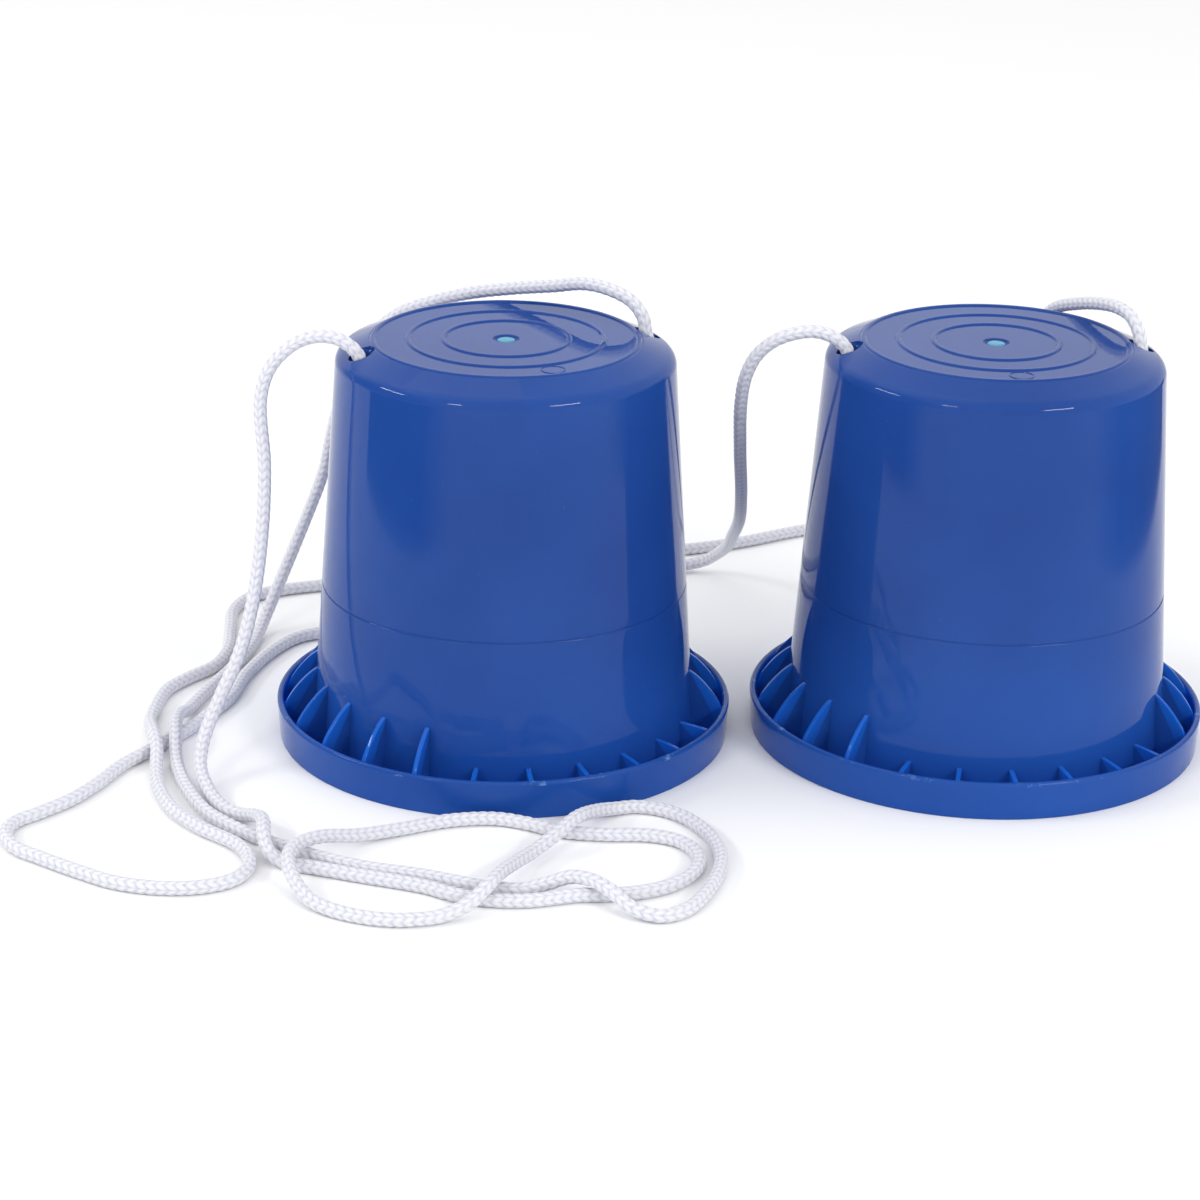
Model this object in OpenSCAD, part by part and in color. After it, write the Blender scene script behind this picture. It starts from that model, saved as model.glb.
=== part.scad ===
// A pair of pot stilts: two upturned pots, each with a looped rope that is knotted inside.
// Millimetres, +Z up. The origin lies on the floor, midway between the two pots.

/* [Pot] */
// How far the foot rim stands out from the body
foot_reach = 11.6; // [9:0.1:18]
// Height of the foot rim
rim_h = 12.6; // [9:0.2:16]
// Thickness of the foot rim
rim_wall = 2.2; // [1.6:0.1:3]
// Thickness of the flat ring between body and rim
web_t = 2.5; // [1.6:0.1:4]
// Height of the standing face above the floor
pot_h = 133.4; // [110:0.2:160]
// Diameter of the body where it meets the floor
body_foot_d = 125.8; // [118:0.2:130]
// Diameter that the tapered side would have at full height
body_top_d = 107.6; // [102:0.2:112]
// Thickness of the side wall
body_wall = 2.5; // [1.6:0.1:3.5]
// Thickness of the standing plate
top_t = 3; // [2:0.1:5]
// Diameter of the flat part of the standing face
face_d = 87; // [80:0.5:90]
// Drop of the sloping shoulder outside that face
shoulder_drop = 4.6; // [2:0.2:7]
// Radius between shoulder and side wall
shoulder_r = 4.5; // [2:0.25:7]

/* [Standing face] */
// Diameter of the inner raised ring
inner_ring_d = 40; // [30:0.2:50]
// Diameter of the middle raised ring
middle_ring_d = 62.2; // [56:0.2:70]
// Room between the outer raised ring and the face's edge
outer_ring_room = 0.3; // [0.1:0.1:2]
// Width of a raised ring
ring_w = 2; // [1:0.1:3]
// Height of a raised ring
ring_h = 0.5; // [0.2:0.1:1]
// Diameter of the moulding dimple in the middle
dimple_d = 8.7; // [6:0.1:12]
// Depth of that dimple
dimple_depth = 0.9; // [0.3:0.1:1.5]
// Diameter of the nub left in the dimple
nub_d = 5.8; // [2:0.1:6.6]
// Height of the mould parting line
parting_z = 52.8; // [35:0.2:90]
// Depth of the groove that the parting line leaves
parting_depth = 0.35; // [0.1:0.05:0.8]

/* [Foot ribs] */
// Number of ribs round the foot
rib_count = 24; // [12:2:32]
// Number of them that are short, all on one side
short_rib_count = 6; // [0:2:10]
// Thickness of a rib
rib_t = 1.6; // [1:0.1:2.5]
// Height of the tall ribs on the body
tall_rib_z = 23.6; // [18:0.2:35]
// Height of the short ribs on the body
short_rib_z = 12; // [11:0.1:16]
// How far below the rim's edge a rib ends
rib_end_drop = 2; // [1.8:0.1:4]
// Upper edge of a rib: 1 is a quarter round and 2 a straight line
rib_line = 1.6; // [1:0.1:2]
// Turn of the left pot's short ribs, at their middle, from the line through its rope holes
left_rib_turn = -76.5; // [-90:0.5:-60]
// The same for the right pot, whose holes are drilled at another turn
right_rib_turn = -82.5; // [-90:0.5:-60]

/* [Rope] */
// Diameter of the rope
rope_d = 4.2; // [3.4:0.1:5]
// Clearance of the rope in its hole, on the diameter
hole_play = 3.4; // [2.4:0.1:3.8]
// Distance between the two rope holes of a pot
hole_pitch = 95; // [92:0.2:96]
// Diameter of a stopper knot
knot_d = 12; // [10:0.2:13]
// Length of a stopper knot
knot_l = 14; // [10:0.5:18]
// How far a knot sits inward from its rope
knot_inset = 3.2; // [3:0.1:5]
// How far a knot can rise before it seats
knot_slack = 10; // [4:0.5:20]
// Length of the tail below a knot
tail_l = 12; // [6:0.5:25]

/* [Placing] */
// Distance between the pots from left to right
pair_dx = 156; // [154:0.5:170]
// Distance between the pots from front to back
pair_dy = 6; // [0:0.5:20]
// Turn of the left pot's rope holes
left_turn = 18; // [10:1:24]
// Turn of the right pot's rope holes
right_turn = 5; // [0:1:10]

/* [Hidden] */

$fn = 96;
pot_blue = "#2f4fa0";
rope_white = "#f0f0f4";
tube_sides = 10;
arc_steps = 6;

flange_r = body_foot_d / 2 + foot_reach;
rim_draft = 0.8;
rim_round_share = 0.45;
rim_round = rim_wall * rim_round_share;
outer_ring_d = face_d - ring_w - 2 * outer_ring_room;
nub_z = pot_h - dimple_depth / 3;
rib_step = 15;
cut_below = 2;
cut_above = 12;
rim_in_r = flange_r - rim_wall;
face_r = face_d / 2;
body_foot_r = body_foot_d / 2;
body_slope = (body_foot_d - body_top_d) / 2 / pot_h;
parting_half_w = 0.4;
rib_bite = body_wall / 2;
rim_bite = rim_wall / 2;
hole_r = hole_pitch / 2;
hole_d = rope_d + hole_play;
seat_gap = 0.5;
mouth_drop = 2;
route_floor_z = 2.6;
route_rope_d = 5;
hump_z = 9;
floor_gap = 0.1;
lie_z = rope_d / 2 + floor_gap;
lean = hole_play / 4;
knot_round = knot_d / 3;

function body_r(z) = body_foot_r - z * body_slope;

// The shoulder runs straight from the flat face to the corner with the side
corner_z = pot_h - shoulder_drop;
corner_r = body_r(corner_z);
function shoulder_z(r) = pot_h - shoulder_drop * (r - face_r) / (corner_r - face_r);

// Rope and knot levels below a hole, and the centre of each pot
exit_z = shoulder_z(hole_r);
mouth_z = exit_z - top_t - mouth_drop;
knot_top_z = mouth_z - seat_gap - knot_slack;
left_at = [-pair_dx / 2, -pair_dy / 2, 0];
right_at = [pair_dx / 2, pair_dy / 2, 0];

// Plan angle at which each rope end leaves its hole: near hole, far hole
left_leave = [174, 150];
right_leave = [178, 115];

function unit(v) = v / norm(v);

// Points of an arc of radius r in the corner v, coming from a and leaving to b
function round_corner(a, v, b, r) =
  let (u = unit(a - v), w = unit(b - v))
  let (half = acos(u * w) / 2)
  let (mid = v + unit(u + w) * r / sin(half))
  let (from = v + u * r / tan(half) - mid, to = v + w * r / tan(half) - mid)
  let (a0 = atan2(from[1], from[0]), sweep = atan2(to[1], to[0]) - a0)
  let (turn = sweep > 180 ? sweep - 360 : sweep < -180 ? sweep + 360 : sweep)
  [for (i = [0:arc_steps]) mid + r * [cos(a0 + turn * i / arc_steps), sin(a0 + turn * i / arc_steps)]];

function ring_bump(r) = [
  [r - ring_w / 2, pot_h],
  [r - ring_w / 4, pot_h + ring_h],
  [r + ring_w / 4, pot_h + ring_h],
  [r + ring_w / 2, pot_h]];

// Half section of the pot, from the axis over the outside and back up the inside
face_points = concat(
  [[0, nub_z], [nub_d / 2, nub_z]],
  [[nub_d / 2, pot_h - dimple_depth], [dimple_d / 2 - dimple_depth, pot_h - dimple_depth]],
  [[dimple_d / 2, pot_h]],
  [for (d = [inner_ring_d, middle_ring_d, outer_ring_d]) each ring_bump(d / 2)]);
side_points = concat(
  round_corner([face_r, pot_h], [corner_r, corner_z], [body_r(0), 0], shoulder_r),
  [[body_r(parting_z + parting_half_w), parting_z + parting_half_w]],
  [[body_r(parting_z) - parting_depth, parting_z]],
  [[body_r(parting_z - parting_half_w), parting_z - parting_half_w]]);
foot_points = concat(
  [[body_r(web_t), web_t], [rim_in_r, web_t]],
  round_corner([rim_in_r, web_t], [rim_in_r, rim_h], [flange_r, rim_h], rim_round),
  round_corner([rim_in_r, rim_h], [flange_r, rim_h], [flange_r - rim_draft, 0], rim_round),
  [[flange_r - rim_draft, 0]]);
inner_points = concat(
  [[body_r(0) - body_wall, 0]],
  round_corner([body_r(0) - body_wall, 0], [corner_r - body_wall, corner_z - top_t],
               [face_r, pot_h - top_t], shoulder_r - body_wall / 2),
  [[face_r, pot_h - top_t], [0, pot_h - top_t]]);
pot_section = concat(face_points, [[face_r, pot_h]], side_points, foot_points, inner_points);

// One rib: a fin with a bulging upper edge, from the body down to the rim
module rib(apex_z) {
  end_z = rim_h - rib_end_drop;
  start_r = body_r(apex_z);
  top_edge = [for (a = [0:rib_step:90])
    [start_r + (rim_in_r - start_r) * pow(sin(a), rib_line), end_z + (apex_z - end_z) * pow(cos(a), rib_line)]];
  outline = concat(
    [[body_r(web_t) - rib_bite, web_t / 2], [start_r - rib_bite, apex_z]],
    top_edge,
    [[rim_in_r + rim_bite, end_z], [rim_in_r + rim_bite, web_t / 2]]);
  rotate([90, 0, 0]) translate([0, 0, -rib_t / 2]) linear_extrude(rib_t) polygon(outline);
}

// The pot in its own frame, with the rope holes on X
module pot(rib_turn) {
  color(pot_blue) difference() {
    union() {
      rotate_extrude() polygon(pot_section);
      for (i = [0:rib_count - 1]) {
        from_middle = (i + 0.5 - rib_count / 2) * 360 / rib_count;
        is_short = abs(i + 0.5 - rib_count / 2) < short_rib_count / 2;
        rotate(rib_turn + from_middle) rib(is_short ? short_rib_z : tall_rib_z);
      }
    }
    for (side = [-1, 1]) {
      translate([side * hole_r, 0, mouth_z - cut_below]) cylinder(d = hole_d, h = top_t + cut_above);
    }
  }
}

module left_pot() translate(left_at) rotate(left_turn) pot(left_rib_turn);
module right_pot() translate(right_at) rotate(right_turn) pot(right_rib_turn);

// A rope hole's place: side -1 is the near hole and 1 the far one
function hole_at(at, turn, side, z) = at + [side * hole_r * cos(turn), side * hole_r * sin(turn), z];

// The rope leans across its hole towards the plan angle at which it leaves
function ahead(angle, d) = [d * cos(angle), d * sin(angle), 0];
function rope_mouth(at, turn, side, leave, z) = hole_at(at, turn, side, z) - ahead(leave, lean);
function rope_exit(at, turn, side, leave) = hole_at(at, turn, side, exit_z) + ahead(leave, lean);

// A tube of the rope's diameter along points, with its two ends square to Z
function tangents(p) = [for (i = [0:len(p) - 1])
  i == 0 ? [0, 0, 1] : i == len(p) - 1 ? [0, 0, -1] : unit(unit(p[i + 1] - p[i]) + unit(p[i] - p[i - 1]))];
function across(v, t) = unit(v - t * (v * t));
function carried(t) = [for (i = 0, s = across([1, 0, 0], t[0]); i < len(t);
  i = i + 1, s = i < len(t) ? across(s, t[i]) : s) s];

module rope_tube(p) {
  n = tube_sides;
  last = len(p) - 1;
  t = tangents(p);
  s = carried(t);
  points = [for (i = [0:last], k = [0:n - 1]) p[i] + rope_d / 2
    * (cos(360 * k / n) * s[i] + sin(360 * k / n) * cross(t[i], s[i]))];
  walls = [for (i = [0:last - 1], k = [0:n - 1])
    let (a = i * n + k, b = i * n + (k + 1) % n)
    each [[a, a + n, b], [b, a + n, b + n]]];
  caps = [for (k = [1:n - 2]) each [[0, k, k + 1], [last * n, last * n + k + 1, last * n + k]]];
  color(rope_white) polyhedron(points, concat(walls, caps), convexity = 10);
}

// Left rope, from the near hole: fall, front loops out and back, climb to the far hole
left_fall = [
  [-128, -17, 135.6], [-134, -16, 137.2], [-141, -15, 135.8], [-147, -15, 132], [-152, -15, 126],
  [-155, -15, 116], [-154, -17, 94], [-155, -20, 72], [-158, -25, 50], [-162, -30, 35],
  [-168, -37, 22], [-172, -46, 12], [-172, -55, 7.4], [-169, -64, 4.4], [-165, -72, 2.6],
  [-161, -78, 2.6], [-156, -82, 3], [-151, -88, 6], [-148, -96, 8.4], [-147, -104, 7.6],
  [-145, -110, 4.6], [-140, -114.4, 2.8]];
left_front_out = [
  [-130, -117.8, 2.6], [-118, -122, 2.6], [-97, -129, 2.6], [-88, -134, 2.6], [-78, -137, 2.6],
  [-66, -137, 2.6], [-52, -133, 2.6], [-36, -131, 2.6], [-24, -125, 2.6], [-17, -115, 2.6],
  [-16, -104, 2.6], [-21, -95, 2.6], [-30, -91, 2.6], [-45, -91, 2.6], [-58, -89, 2.6],
  [-68, -84, 2.6], [-78, -81, 2.6], [-92, -83, 2.6], [-105, -89, 2.6], [-119, -97, 4],
  [-130, -105, 7.6], [-136, -112, 8.6], [-138, -120, 8.6], [-136, -130, 6.6], [-130, -140, 3.4],
  [-120, -147, 2.6], [-106, -151, 2.6], [-93, -149, 2.6]];
left_front_back = [
  [-84, -144.6, 5], [-78, -137, 8.4], [-75, -129, 8.4], [-71, -119, 6.6], [-65, -107, 5],
  [-58, -98, 7.4], [-53, -90, 8.6], [-47, -80, 6], [-41, -73, 3.2], [-34, -70.2, 2.6],
  [-26, -72.4, 2.6], [-19, -78, 2.6], [-12, -90, 2.6], [-9, -103, 2.6], [-10, -116, 2.6],
  [-15, -132, 2.6], [-21, -142, 2.6], [-28, -145.6, 2.8], [-36, -143.4, 4.4], [-42, -138, 7.4],
  [-48, -132.4, 8.4], [-54, -129, 7.4], [-61, -128.6, 4.4], [-69, -130, 2.6], [-78, -129, 2.6],
  [-97, -122, 2.6], [-118, -116, 2.6], [-139, -105, 2.6], [-155, -93, 2.6], [-167, -80, 2.6],
  [-175, -64, 2.6]];
left_climb = [
  [-180, -48, 2.6], [-182, -39, 4], [-183, -31, 7], [-184, -22, 8.4], [-184, -13, 7.4],
  [-183, -3, 4], [-180, 12, 2.6], [-174, 32, 2.6], [-169, 51, 2.6], [-167, 66, 3], [-165, 77, 7],
  [-160, 84, 18], [-152, 84, 38], [-144, 80, 60], [-140, 75, 78], [-135, 71, 95], [-128, 68, 110],
  [-117, 63, 122], [-104, 56, 129], [-91, 49, 134], [-77, 41, 138], [-64, 32, 141.5],
  [-53, 24, 144.6], [-44, 18, 144], [-38, 14.6, 141.4], [-34.6, 12.8, 137]];

// Right rope, from the near hole: fall, hand loop at the left, climb to the far hole
right_fall = [
  [26, -1, 135.4], [20, 0, 137], [13, 1, 135.8], [7, 3, 132.6], [2, 6, 127], [-1, 10, 119],
  [-2, 18, 107], [-1, 34, 86], [1, 58, 63], [2, 85, 43], [1, 112, 27], [0, 126, 18], [-3, 137, 11],
  [-8, 143.4, 6], [-16, 144, 3.2], [-26, 139, 2.6], [-60, 119, 2.6], [-110, 91, 2.6],
  [-144, 72, 2.6], [-153, 66, 2.6], [-160, 54, 2.6], [-167, 32, 2.6], [-170, 12, 2.6],
  [-175, -2, 2.6], [-179.4, -13, 2.6]];
right_loop = [
  [-184.6, -23, 2.6], [-190.6, -33, 2.6], [-198, -45, 2.6], [-204, -60, 2.6], [-210, -72, 2.6],
  [-218, -82, 2.6], [-225, -90, 2.6], [-226, -99, 2.6], [-221, -108, 2.6], [-213, -114, 2.6],
  [-200, -123, 2.6], [-188, -130, 2.6], [-175, -133, 2.6], [-163, -132, 2.6], [-154, -127, 2.6],
  [-150.4, -119, 2.6], [-151, -111, 2.6], [-155, -103, 2.6], [-168, -91, 2.6], [-178, -78, 2.6],
  [-185, -60, 2.6]];
right_climb = [
  [-187, -48, 4], [-188, -39, 7], [-190, -31, 8.4], [-192, -23, 7], [-194, -11, 3], [-194, 2, 2.6],
  [-192, 17, 2.6], [-186, 28, 2.6], [-179, 38, 2.6], [-176, 52, 2.6], [-177, 72, 2.6],
  [-178, 92, 2.6], [-173, 105, 2.6], [-162, 113, 2.6], [-140, 121, 2.6], [-100, 136, 2.6],
  [-50, 153, 2.6], [-13, 164, 2.6], [6, 172, 2.6], [31, 187, 2.6], [47, 193, 2.6], [63, 193, 3],
  [76, 184, 7], [83, 168, 16], [88, 150, 30], [92, 128, 51], [95, 104, 78], [97, 83, 103],
  [99, 67, 119], [103, 53, 131], [109, 40, 136.6], [115, 28, 140], [119, 20, 141], [122, 14, 140],
  [124, 10, 136.6]];

// The routes suit a rope of route_rope_d: where it lies or humps over itself, its height follows rope_d
function settled(q) = q[2] > hump_z ? q + [0, 0, lie_z - route_floor_z]
  : [q[0], q[1], lie_z + (q[2] - route_floor_z) * rope_d / route_rope_d];

module rope_through(at, turn, leave, route) {
  rope_tube(concat(
    [rope_mouth(at, turn, -1, leave[0], mouth_z), rope_exit(at, turn, -1, leave[0])],
    [for (q = route) settled(q)],
    [rope_exit(at, turn, 1, leave[1]), rope_mouth(at, turn, 1, leave[1], mouth_z)]));
}

module left_rope() {
  rope_through(left_at, left_turn, left_leave, concat(left_fall, left_front_out, left_front_back, left_climb));
}
module right_rope() {
  rope_through(right_at, right_turn, right_leave, concat(right_fall, right_loop, right_climb));
}

// The short stretch of rope between a hole and its knot
module rope_end(at, turn, side, leave) {
  color(rope_white) translate(rope_mouth(at, turn, side, leave, knot_top_z))
    cylinder(d = rope_d, h = mouth_z - knot_top_z);
}

module left_near_rope_end() rope_end(left_at, left_turn, -1, left_leave[0]);
module left_far_rope_end() rope_end(left_at, left_turn, 1, left_leave[1]);
module right_near_rope_end() rope_end(right_at, right_turn, -1, right_leave[0]);
module right_far_rope_end() rope_end(right_at, right_turn, 1, right_leave[1]);

// A stopper knot set inward from its rope, with the rope's tail below it
module knot(at, turn, side, leave) {
  r = knot_d / 2;
  section = concat(
    [[0, 0]],
    round_corner([0, 0], [r, 0], [r, knot_l], knot_round),
    round_corner([r, 0], [r, knot_l], [0, knot_l], knot_round),
    [[0, knot_l]]);
  color(rope_white) translate(rope_mouth(at, turn, side, leave, knot_top_z - knot_l)) {
    translate(-ahead(turn, side * knot_inset)) rotate_extrude() polygon(section);
    translate([0, 0, -tail_l]) cylinder(d = rope_d, h = tail_l + knot_l / 2);
  }
}

module left_near_knot() knot(left_at, left_turn, -1, left_leave[0]);
module left_far_knot() knot(left_at, left_turn, 1, left_leave[1]);
module right_near_knot() knot(right_at, right_turn, -1, right_leave[0]);
module right_far_knot() knot(right_at, right_turn, 1, right_leave[1]);

left_pot();
right_pot();
left_rope();
right_rope();
left_near_rope_end();
left_far_rope_end();
right_near_rope_end();
right_far_rope_end();
left_near_knot();
left_far_knot();
right_near_knot();
right_far_knot();
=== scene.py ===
import math

import bmesh
import bpy
import numpy as np
from mathutils import Matrix, Vector


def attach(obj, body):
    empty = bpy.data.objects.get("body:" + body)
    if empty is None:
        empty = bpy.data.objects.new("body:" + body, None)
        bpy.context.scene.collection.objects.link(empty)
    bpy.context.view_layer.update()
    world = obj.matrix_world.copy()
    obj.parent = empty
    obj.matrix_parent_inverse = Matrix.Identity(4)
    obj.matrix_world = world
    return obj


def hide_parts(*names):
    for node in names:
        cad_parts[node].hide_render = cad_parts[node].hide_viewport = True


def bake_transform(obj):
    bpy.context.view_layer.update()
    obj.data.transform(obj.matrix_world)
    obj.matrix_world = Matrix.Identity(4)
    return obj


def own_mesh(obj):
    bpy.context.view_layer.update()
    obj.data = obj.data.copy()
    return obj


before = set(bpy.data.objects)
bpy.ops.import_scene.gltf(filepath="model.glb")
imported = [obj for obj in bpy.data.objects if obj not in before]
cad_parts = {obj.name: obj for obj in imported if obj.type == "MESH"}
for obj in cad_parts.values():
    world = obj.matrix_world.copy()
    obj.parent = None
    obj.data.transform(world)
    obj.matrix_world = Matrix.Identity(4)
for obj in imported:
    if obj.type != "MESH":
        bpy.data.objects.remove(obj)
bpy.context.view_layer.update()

scene = bpy.context.scene
mm = 0.001


# Small helpers

def link(obj):
    scene.collection.objects.link(obj)
    return obj


def newMaterial(name):
    mat = bpy.data.materials.new(name)
    mat.use_nodes = True
    nodes = mat.node_tree.nodes
    links = mat.node_tree.links
    return mat, nodes, links, nodes["Principled BSDF"]


def addNode(nodes, kind, **values):
    node = nodes.new(kind)
    for key, value in values.items():
        if hasattr(node, key):
            setattr(node, key, value)
        else:
            node.inputs[key.replace("_", " ")].default_value = value
    return node


def mixColour(nodes, links, factor, first, second):
    node = nodes.new("ShaderNodeMix")
    node.data_type = "RGBA"
    for socket, value in ((node.inputs[0], factor), (node.inputs[6], first), (node.inputs[7], second)):
        if isinstance(value, bpy.types.NodeSocket):
            links.new(value, socket)
        else:
            socket.default_value = value
    return node.outputs[2]


def mapRange(nodes, links, value, fromLow, fromHigh, toLow, toHigh):
    node = nodes.new("ShaderNodeMapRange")
    links.new(value, node.inputs[0])
    for index, number in enumerate((fromLow, fromHigh, toLow, toHigh), start=1):
        node.inputs[index].default_value = number
    return node.outputs[0]


def meshFrom(name, points, faces):
    mesh = bpy.data.meshes.new(name)
    mesh.from_pydata([tuple(p) for p in points], [], faces)
    mesh.update()
    return mesh


def meshOf(name, bm):
    mesh = bpy.data.meshes.new(name)
    bm.to_mesh(mesh)
    bm.free()
    return mesh


# Camera at the photograph's viewing angle

cameraSet = {
    "place": (-0.04840, -0.97706, 0.42098),
    "yaw": 0.097,
    "pitch": 21.101,
    "roll": 1.0735,
    "lens": 95.85,
    "sensor": 36.0,
}


def makeCamera(s):
    yaw, pitch, roll = (math.radians(s[k]) for k in ("yaw", "pitch", "roll"))
    forward = Vector((math.sin(yaw) * math.cos(pitch), math.cos(yaw) * math.cos(pitch), -math.sin(pitch)))
    right = Vector((math.cos(yaw), -math.sin(yaw), 0))
    up = right.cross(forward)
    turnedRight = math.cos(roll) * right + math.sin(roll) * up
    turnedUp = math.cos(roll) * up - math.sin(roll) * right
    data = bpy.data.cameras.new("camera")
    data.sensor_width = s["sensor"]
    data.lens = s["lens"]
    data.clip_start = 0.01
    data.clip_end = 50
    camera = link(bpy.data.objects.new("camera", data))
    matrix = Matrix((turnedRight, turnedUp, -forward)).transposed().to_4x4()
    matrix.translation = Vector(s["place"])
    camera.matrix_world = matrix
    scene.camera = camera


makeCamera(cameraSet)
print("stage: camera")


# Where the two stilts stand and where their ropes go, in millimetres

stilts = {
    "left": {"at": (-78, -3), "turn": 18, "ribTurn": -76.5, "markTurn": -83, "leave": {-1: 174, 1: 150}},
    "right": {"at": (78, 3), "turn": 5, "ribTurn": -82.5, "markTurn": -89, "leave": {-1: 178, 1: 115}},
}
holeSet = {
    "radius": 47.5,
    "size": 7.6,
    "lean": 0.85,
    "exitZ": 131.666,
    "mouthZ": 126.666,
    "knotZ": 116.166,
    "cutZ": (118, 140),
}
sideNames = {-1: "near", 1: "far"}


def holeAt(stilt, side, z, lean):
    turn = math.radians(stilt["turn"])
    leave = math.radians(stilt["leave"][side])
    x = stilt["at"][0] + side * holeSet["radius"] * math.cos(turn) + lean * math.cos(leave)
    y = stilt["at"][1] + side * holeSet["radius"] * math.sin(turn) + lean * math.sin(leave)
    return (x, y, z)


def throughHole(stilt, side):
    lean = holeSet["lean"]
    return [holeAt(stilt, side, holeSet["mouthZ"], -lean), holeAt(stilt, side, holeSet["exitZ"], lean)]


ropeRoutes = {
    "left": [
        (-128, -17, 135.6), (-134, -16, 137.2), (-141, -15, 135.8), (-147, -15, 132), (-152, -15, 126),
        (-155, -15, 116), (-154, -17, 94), (-155, -20, 72), (-158, -25, 50), (-162, -30, 35),
        (-168, -37, 22), (-172, -46, 12), (-172, -55, 7.4), (-169, -64, 4.4), (-165, -72, 2.6),
        (-161, -78, 2.6), (-156, -82, 3), (-151, -88, 6), (-148, -96, 8.4), (-147, -104, 7.6),
        (-145, -110, 4.6), (-140, -114.4, 2.8),
        (-130, -117.8, 2.6), (-118, -122, 2.6), (-97, -129, 2.6), (-88, -134, 2.6), (-78, -137, 2.6),
        (-66, -137, 2.6), (-52, -133, 2.6), (-36, -131, 2.6), (-24, -125, 2.6), (-17, -115, 2.6),
        (-16, -104, 2.6), (-21, -95, 2.6), (-30, -91, 2.6), (-45, -91, 2.6), (-58, -89, 2.6),
        (-68, -84, 2.6), (-78, -81, 2.6), (-92, -83, 2.6), (-105, -89, 2.6), (-119, -97, 4),
        (-130, -105, 7.6), (-136, -112, 8.6), (-138, -120, 8.6), (-136, -130, 6.6), (-130, -140, 3.4),
        (-120, -147, 2.6), (-106, -151, 2.6), (-93, -149, 2.6),
        (-84, -144.6, 5), (-78, -137, 8.4), (-75, -129, 8.4), (-71, -119, 6.6), (-65, -107, 5),
        (-58, -98, 7.4), (-53, -90, 8.6), (-47, -80, 6), (-41, -73, 3.2), (-34, -70.2, 2.6),
        (-26, -72.4, 2.6), (-19, -78, 2.6), (-12, -90, 2.6), (-9, -103, 2.6), (-10, -116, 2.6),
        (-15, -132, 2.6), (-21, -142, 2.6), (-28, -145.6, 2.8), (-36, -143.4, 4.4), (-42, -138, 7.4),
        (-48, -132.4, 8.4), (-54, -129, 7.4), (-61, -128.6, 4.4), (-69, -130, 2.6), (-78, -129, 2.6),
        (-97, -122, 2.6), (-118, -116, 2.6), (-139, -105, 2.6), (-155, -93, 2.6), (-167, -80, 2.6),
        (-175, -64, 2.6),
        (-180, -48, 2.6), (-182, -39, 4), (-183, -31, 7), (-184, -22, 8.4), (-184, -13, 7.4),
        (-183, -3, 4), (-180, 12, 2.6), (-174, 32, 2.6), (-169, 51, 2.6), (-167, 66, 3),
        (-165, 77, 7), (-160, 84, 18), (-152, 84, 38), (-144, 80, 60), (-140, 75, 78),
        (-135, 71, 95), (-128, 68, 110), (-117, 63, 122), (-104, 56, 129), (-91, 49, 134),
        (-77, 41, 138), (-64, 32, 141.5), (-53, 24, 144.6), (-44, 18, 144), (-38, 14.6, 141.4),
        (-34.6, 12.8, 137),
    ],
    "right": [
        (26, -1, 135.4), (20, 0, 137), (13, 1, 135.8), (7, 3, 132.6), (2, 6, 127),
        (-1, 10, 119), (-2, 18, 107), (-1, 34, 86), (1, 58, 63), (2, 85, 43),
        (1, 112, 27), (0, 126, 18), (-3, 137, 11), (-8, 143.4, 6), (-16, 144, 3.2),
        (-26, 139, 2.6), (-60, 119, 2.6), (-110, 91, 2.6), (-144, 72, 2.6), (-153, 66, 2.6),
        (-160, 54, 2.6), (-167, 32, 2.6), (-170, 12, 2.6), (-175, -2, 2.6), (-179.4, -13, 2.6),
        (-184.6, -23, 2.6), (-190.6, -33, 2.6), (-198, -45, 2.6), (-204, -60, 2.6), (-210, -72, 2.6),
        (-218, -82, 2.6), (-225, -90, 2.6), (-226, -99, 2.6), (-221, -108, 2.6), (-213, -114, 2.6),
        (-200, -123, 2.6), (-188, -130, 2.6), (-175, -133, 2.6), (-163, -132, 2.6), (-154, -127, 2.6),
        (-150.4, -119, 2.6), (-151, -111, 2.6), (-155, -103, 2.6), (-168, -91, 2.6), (-178, -78, 2.6),
        (-185, -60, 2.6),
        (-187, -48, 4), (-188, -39, 7), (-190, -31, 8.4), (-192, -23, 7), (-194, -11, 3),
        (-194, 2, 2.6), (-192, 17, 2.6), (-186, 28, 2.6), (-179, 38, 2.6), (-176, 52, 2.6),
        (-177, 72, 2.6), (-178, 92, 2.6), (-173, 105, 2.6), (-162, 113, 2.6), (-140, 121, 2.6),
        (-100, 136, 2.6), (-50, 153, 2.6), (-13, 164, 2.6), (6, 172, 2.6), (31, 187, 2.6),
        (47, 193, 2.6), (63, 193, 3), (76, 184, 7), (83, 168, 16), (88, 150, 30),
        (92, 128, 51), (95, 104, 78), (97, 83, 103), (99, 67, 119), (103, 53, 131),
        (109, 40, 136.6), (115, 28, 140), (119, 20, 141), (122, 14, 140), (124, 10, 136.6),
    ],
}


# Smooth line through route points: centripetal curve, even steps

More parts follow.
